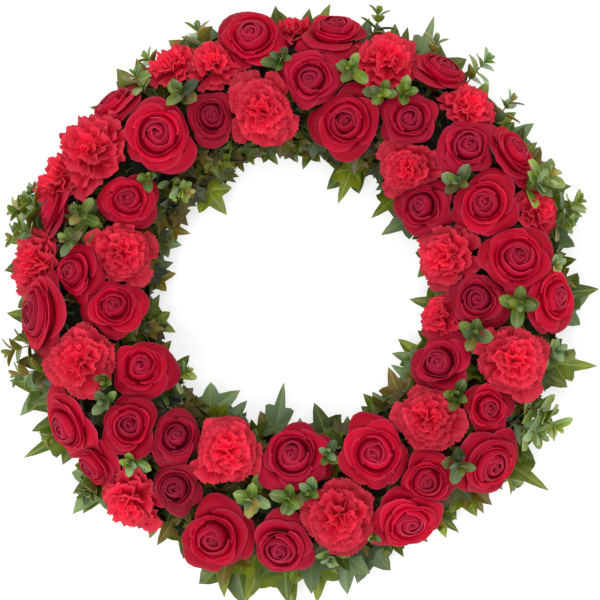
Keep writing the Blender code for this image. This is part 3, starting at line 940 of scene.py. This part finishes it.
def makeLeafGroup():
    # Blade, paler veins that run from the stalk into the lobes, leaves that are bronzed or have a bloom, and
    # a painted sheen that pales toward the tip
    group, nodes, given, result = newGroup("Leaf Colour", {
        "Blade": (0.05, 0.15, 0.03, 1), "Light": (0.2, 0.35, 0.1, 1), "Vein": (0.3, 0.45, 0.2, 1),
        "Bronze": (0.15, 0.06, 0.02, 1), "Bloom": (0.2, 0.35, 0.25, 1), "Tip": (0.3, 0.4, 0.2, 1),
        "Tip Strength": 0.0, "Vein Width": 0.03, "Side Veins": 1.0,
    })
    x, y, _ = nodes.vector("place")
    brightness, hue, bronzed = nodes.vector("tint")
    aside = nodes.math("ABSOLUTE", y)
    veins = nodes.rest(nodes.ramp(aside, 0.0, given["Vein Width"]))
    for lobe, _ in ivyShape["lobes"][1:]:
        cos, sin = math.cos(math.radians(lobe)), math.sin(math.radians(lobe))
        across = nodes.math("SUBTRACT", nodes.times(x, sin), nodes.times(aside, cos))
        along = nodes.line(x, cos, nodes.times(aside, sin))
        line = nodes.rest(nodes.ramp(nodes.math("ABSOLUTE", across), 0.0, given["Vein Width"]))
        line = nodes.times(line, nodes.ramp(along, 0.0, 0.05), given["Side Veins"])
        veins = nodes.math("MAXIMUM", veins, line)
    patch = nodes.times(nodes.ramp(nodes.noise(55.0), 0.35, 0.7), 0.6)
    colour = nodes.blend(nodes.line(hue, 0.30, patch, clamp=True), given["Blade"], given["Light"])
    colour = nodes.blend(nodes.math("MULTIPLY", bronzed, 0.6, clamp=True), colour, given["Bronze"])
    colour = nodes.blend(nodes.math("MULTIPLY", bronzed, -0.65, clamp=True), colour, given["Bloom"])
    # painted sheen: paler toward the leaf's tip
    tipSheen = nodes.times(nodes.ramp(x, 0.35, 1.0), given["Tip Strength"])
    colour = nodes.blend(tipSheen, colour, given["Tip"])
    colour = nodes.blend(nodes.times(veins, 0.45), colour, given["Vein"])
    nodes.feed(result["Colour"], nodes.brighten(colour, nodes.line(brightness, 0.8, 1.0)))
    nodes.feed(result["Height"], nodes.line(nodes.noise(300.0), 0.4, nodes.times(veins, -0.6)))
    return group


# The look of each material: its group's colours, and the shader's own settings
looks = {
    "rosePetal": {
        "group": "Petal Colour",
        # painted shade in the heart colour and by Outer Shade, a painted highlight in the rim colour, and a
        # painted glow
        "inputs": {"Deep": (0.175, 0.0003, 0.013, 1), "Face": (0.41, 0.0005, 0.018, 1),
                   "Rim": (0.46, 0.026, 0.070, 1), "Rim Width": 0.09, "Rim Strength": 0.62, "Heart": 0.62,
                   "Outer Shade": 0.36},
        "shader": {"Roughness": 0.62, "Sheen Weight": 0.035, "Sheen Roughness": 0.35,
                   "Sheen Tint": (1.0, 0.25, 0.45, 1), "Specular IOR Level": 0.11},
        "bump": 0.10,
        "paintedGlow": 0.20,
    },
    "darkRosePetal": {
        "group": "Petal Colour",
        # painted shade in the heart colour and by Outer Shade, a painted highlight in the rim colour, and a
        # painted glow
        "inputs": {"Deep": (0.21, 0.0005, 0.018, 1), "Face": (0.38, 0.001, 0.022, 1),
                   "Rim": (0.40, 0.022, 0.06, 1), "Rim Width": 0.11, "Rim Strength": 0.65, "Heart": 0.75,
                   "Outer Shade": 0.22},
        "shader": {"Roughness": 0.62, "Sheen Weight": 0.06, "Sheen Roughness": 0.35,
                   "Sheen Tint": (1.0, 0.30, 0.50, 1), "Specular IOR Level": 0.13},
        "bump": 0.10,
        "paintedGlow": 0.09,
    },
    "carnationPetal": {
        "group": "Petal Colour",
        # a painted lighter fill in the heart colour, painted shade by Outer Shade, a painted highlight in the
        # rim colour, and a painted glow
        "inputs": {"Deep": (0.72, 0.010, 0.042, 1), "Face": (0.50, 0.005, 0.026, 1),
                   "Rim": (0.64, 0.042, 0.070, 1), "Rim Width": 0.25, "Rim Strength": 0.6, "Heart": 0.35,
                   "Outer Shade": 0.28, "Veins": 18.0},
        "shader": {"Roughness": 0.65, "Sheen Weight": 0.05, "Sheen Roughness": 0.5,
                   "Sheen Tint": (1.0, 0.4, 0.5, 1), "Specular IOR Level": 0.15},
        "bump": 0.15,
        "paintedGlow": 0.15,
    },
    "ivyLeaf": {
        "group": "Leaf Colour",
        "inputs": {"Blade": (0.053, 0.095, 0.004, 1), "Light": (0.205, 0.235, 0.008, 1),
                   "Vein": (0.25, 0.31, 0.08, 1), "Bronze": (0.19, 0.085, 0.012, 1),
                   "Bloom": (0.15, 0.24, 0.13, 1), "Vein Width": 0.045},
        "shader": {"Roughness": 0.38, "Specular IOR Level": 0.28, "Coat Weight": 0.05,
                   "Coat Roughness": 0.25},
        "bump": 0.35,
    },
    "sprigLeaf": {
        "group": "Leaf Colour",
        "inputs": {"Blade": (0.085, 0.160, 0.010, 1), "Light": (0.27, 0.32, 0.018, 1),
                   "Vein": (0.42, 0.52, 0.22, 1), "Bronze": (0.30, 0.14, 0.04, 1),
                   "Bloom": (0.16, 0.27, 0.15, 1), "Tip": (0.31, 0.40, 0.11, 1), "Tip Strength": 0.35,
                   "Vein Width": 0.16, "Side Veins": 0.0},
        "shader": {"Roughness": 0.36, "Specular IOR Level": 0.35, "Coat Weight": 0.1, "Coat Roughness": 0.2},
        "bump": 0.2,
    },
}


def newMaterial(name, settings):
    material = bpy.data.materials.new(name)
    material.use_nodes = True
    shader = material.node_tree.nodes["Principled BSDF"]
    for label, value in settings.items():
        shader.inputs[label].default_value = value
    return material, shader.inputs, Nodes(material.node_tree)


def addColourAndBump(nodes, shader, colour, height, strength, distance):
    bump = nodes.tree.nodes.new("ShaderNodeBump")
    bump.inputs["Strength"].default_value = strength
    bump.inputs["Distance"].default_value = distance
    nodes.feed(shader["Base Color"], colour)
    nodes.feed(bump.inputs["Height"], height)
    nodes.feed(shader["Normal"], bump.outputs["Normal"])


def makeMaterial(name, groups):
    look = looks[name]
    material, shader, nodes = newMaterial(name, look["shader"])
    node = nodes.tree.nodes.new("ShaderNodeGroup")
    node.node_tree = groups[look["group"]]
    for label, value in look["inputs"].items():
        node.inputs[label].default_value = value
    addColourAndBump(nodes, shader, node.outputs["Colour"], node.outputs["Height"], look["bump"], 0.0006)
    if "paintedGlow" in look:  # painted glow: the petals give off their own colour as light, which lifts their shadows
        nodes.feed(shader["Emission Color"], node.outputs["Colour"])
        shader["Emission Strength"].default_value = look["paintedGlow"]
    return material


# Dark and light colour, scale of the noise, roughness and strength of the bump
grains = {
    "stemGreen": ((0.05, 0.12, 0.03, 1), (0.11, 0.20, 0.05, 1), 120.0, 0.5, 0.2),
    "sprigStem": ((0.12, 0.05, 0.03, 1), (0.25, 0.14, 0.07, 1), 120.0, 0.6, 0.2),
    "floralFoam": ((0.007, 0.012, 0.005, 1), (0.022, 0.034, 0.012, 1), 180.0, 0.95, 0.6),
    "trayPlastic": ((0.012, 0.03, 0.015, 1), (0.018, 0.04, 0.02, 1), 60.0, 0.55, 0.03),
}


# A material whose colour varies between two by a noise, with that noise as its bump
def makeGrainMaterial(name, dark, light, scale, roughness, bumpStrength):
    material, shader, nodes = newMaterial(name, {"Roughness": roughness})
    grain = nodes.noise(scale, 4.0)
    colour = nodes.blend(nodes.ramp(grain, 0.35, 0.65), dark, light)
    addColourAndBump(nodes, shader, colour, grain, bumpStrength, 0.001)
    return material


# The tray is a thin moulded channel: round, with a rolled rim on each side
trayShape = {
    "wall": 0.0018,
    "floor": 0.002,
    "rimRound": 0.0012,
    "edgeRound": 0.0015,  # along the underside
    "segments": 144,
}


def makeTray(material):
    _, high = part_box("base_tray")
    half, rimHeight = high[0] - ringRadius, high[2]
    wall, shoulder = trayShape["wall"], rimHeight - trayShape["rimRound"]
    edge = trayShape["edgeRound"]
    profile = [(half, edge), (half, shoulder), (half - wall * 0.5, rimHeight)]
    profile += [(half - wall, shoulder), (half - wall, trayShape["floor"])]
    profile += [(-across, height) for across, height in profile[::-1]]
    profile += [(-half + edge, 0.0), (half - edge, 0.0)]
    segments = trayShape["segments"]
    points, faces = [], []
    for segment in range(segments):
        clock = segment * 360 / segments
        points += [tuple(ringPoint(clock, ringRadius + across, height)) for across, height in profile]
        here, there = segment * len(profile), (segment + 1) % segments * len(profile)
        for index in range(len(profile)):
            after = (index + 1) % len(profile)
            faces.append((here + index, here + after, there + after, there + index))
    mesh = bpy.data.meshes.new("tray")
    mesh.from_pydata(points, [], faces)
    mesh.materials.append(material)
    mesh.shade_smooth()
    mesh.set_sharp_from_angle(angle=math.radians(40))
    tray = bpy.data.objects.new("tray", mesh)
    bpy.context.scene.collection.objects.link(tray)
    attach(tray, "root")
    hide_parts("base_tray")


slotOf = {row["node"]: row["material_slot"] for row in frame["record"]["subparts"]}


def makeHeads(materials):
    roses = [name for name in sorted(frame["nodes"]) if name.startswith("rose_")]
    carnations = [name for name in sorted(frame["nodes"]) if name.startswith("carnation_")]
    seats = [Seat(name, roseShape, number) for number, name in enumerate(roses)]
    seats += [Seat(name, carnationShape, number) for number, name in enumerate(carnations)]
    for seat in seats:
        seat.partFrom(seats)
    for number, seat in enumerate(seats):
        draw = random.Random(100 + number)
        shells = Shells()
        isRose = seat.shape is roseShape
        brightness = headSetting(headBrightness, seat.name, 0.0)
        addHeadPetals(shells, seat, rosePetal if isRose else carnationPetal, brightness, draw)
        addHeadGreens(shells, seat, draw)
        slot = slotOf[seat.name]
        piece = shells.toObject(seat.name + "_bloom", [materials[slot], materials["stem"]])
        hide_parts(seat.name)
    return seats


# Grey levels of the floor, its own light and the world's strength; the lamps' place, size and power
studio = {
    "floorDrop": 0.0004,
    "floorGrey": (0.48, 0.50),
    "floorGlow": 0.62,
    "worldStrength": 0.92,
    "lamps": {"keyLight": ((-0.7, -1.3, 2.2), 1.4, 26.0), "topLight": ((0.6, 0.9, 2.6), 2.4, 16.0)},
}


def makeFloorAndLight():
    bpy.ops.mesh.primitive_plane_add(size=12, location=(0, 0, -studio["floorDrop"]))
    floor = bpy.context.object
    floor.name = "floor"
    dark, light = [(grey, grey, grey, 1) for grey in studio["floorGrey"]]
    pale = makeGrainMaterial("paleFloor", dark, light, 3.0, 0.85, 0.0)
    floor.data.materials.append(pale)
    shader = pale.node_tree.nodes["Principled BSDF"].inputs
    shader["Emission Color"].default_value = (1.0, 1.0, 1.0, 1)
    shader["Emission Strength"].default_value = studio["floorGlow"]
    # From below the floor can be seen through, so that it doesn't hide the tray's underside
    faces = pale.node_tree.nodes.new("ShaderNodeNewGeometry")
    nodes = Nodes(pale.node_tree)
    nodes.feed(shader["Alpha"], nodes.rest(faces.outputs["Backfacing"]))
    world = bpy.data.worlds.new("studio")
    bpy.context.scene.world = world
    world.use_nodes = True
    world.node_tree.nodes["Background"].inputs["Color"].default_value = (1.0, 1.0, 1.0, 1)
    world.node_tree.nodes["Background"].inputs["Strength"].default_value = studio["worldStrength"]
    for name, (place, size, energy) in studio["lamps"].items():
        lamp = bpy.data.lights.new(name, "AREA")
        lamp.shape = "DISK"
        lamp.size = size
        lamp.energy = energy
        light = bpy.data.objects.new(name, lamp)
        light.location = place
        light.rotation_euler = (-Vector(place)).to_track_quat("-Z", "Y").to_euler()
        bpy.context.scene.collection.objects.link(light)


# The camera looks down on the wreath, a little from its lower right
view = {
    "aim": (0.004, -0.0066, 0.03),
    "distance": 1.7,
    "tilt": 9.0,
    "towards": 40.0,
    "metresPerPixel": 0.00094,
    "pixels": 600,
    "sensor": 36.0,
}


def makeCamera():
    tilt, towards = math.radians(view["tilt"]), math.radians(view["towards"])
    back = Vector((math.sin(towards) * math.sin(tilt), -math.cos(towards) * math.sin(tilt), math.cos(tilt)))
    upward = Vector((0, 1, 0)) - back * back.y
    upward.normalize()
    right = upward.cross(back)
    lens = bpy.data.cameras.new("camera")
    lens.sensor_width = view["sensor"]
    lens.lens = view["sensor"] * view["distance"] / (view["metresPerPixel"] * view["pixels"])
    lens.clip_end = 20
    camera = bpy.data.objects.new("camera", lens)
    facing = Matrix((right, upward, back)).transposed().to_4x4()
    camera.matrix_world = Matrix.Translation(Vector(view["aim"]) + back * view["distance"]) @ facing
    bpy.context.scene.collection.objects.link(camera)
    bpy.context.scene.camera = camera


def main():
    groups = {"Petal Colour": makePetalGroup(), "Leaf Colour": makeLeafGroup()}
    stem, twig, foam, plastic = [makeGrainMaterial(name, *look) for name, look in grains.items()]
    materials = {
        "rose_petal": makeMaterial("rosePetal", groups),
        "dark_rose_petal": makeMaterial("darkRosePetal", groups),
        "carnation_petal": makeMaterial("carnationPetal", groups),
        "stem": stem,
    }
    ivy = makeMaterial("ivyLeaf", groups)
    sprigLeaf = makeMaterial("sprigLeaf", groups)
    print("materials made")

    seats = makeHeads(materials)
    print("flower heads made:", len(seats))

    outer = makeOuterTrail().toObject("outer_ivy", [ivy, stem])
    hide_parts("ivy_trail_outer")
    inner = makeInnerTrail().toObject("inner_ivy", [ivy, stem])
    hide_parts("ivy_trail_inner")
    space = HeadSpace(seats)
    fill = makeFillLeaves(space).toObject("fill_leaves", [ivy, stem])
    print("ivy made")

    draw = random.Random(14)
    sprigs = Shells()
    for sprig in sprigPlaces:
        addSprig(sprigs, sprig, space, draw)
    sprigs.toObject("sprigs", [sprigLeaf, twig])
    print("sprigs made")

    frame["nodes"]["foam_ring"].data.materials.clear()
    frame["nodes"]["foam_ring"].data.materials.append(foam)
    makeTray(plastic)
    makeFloorAndLight()
    makeCamera()
    bpy.context.scene.view_settings.view_transform = "Standard"
    print("tray, floor, light and camera made")


main()
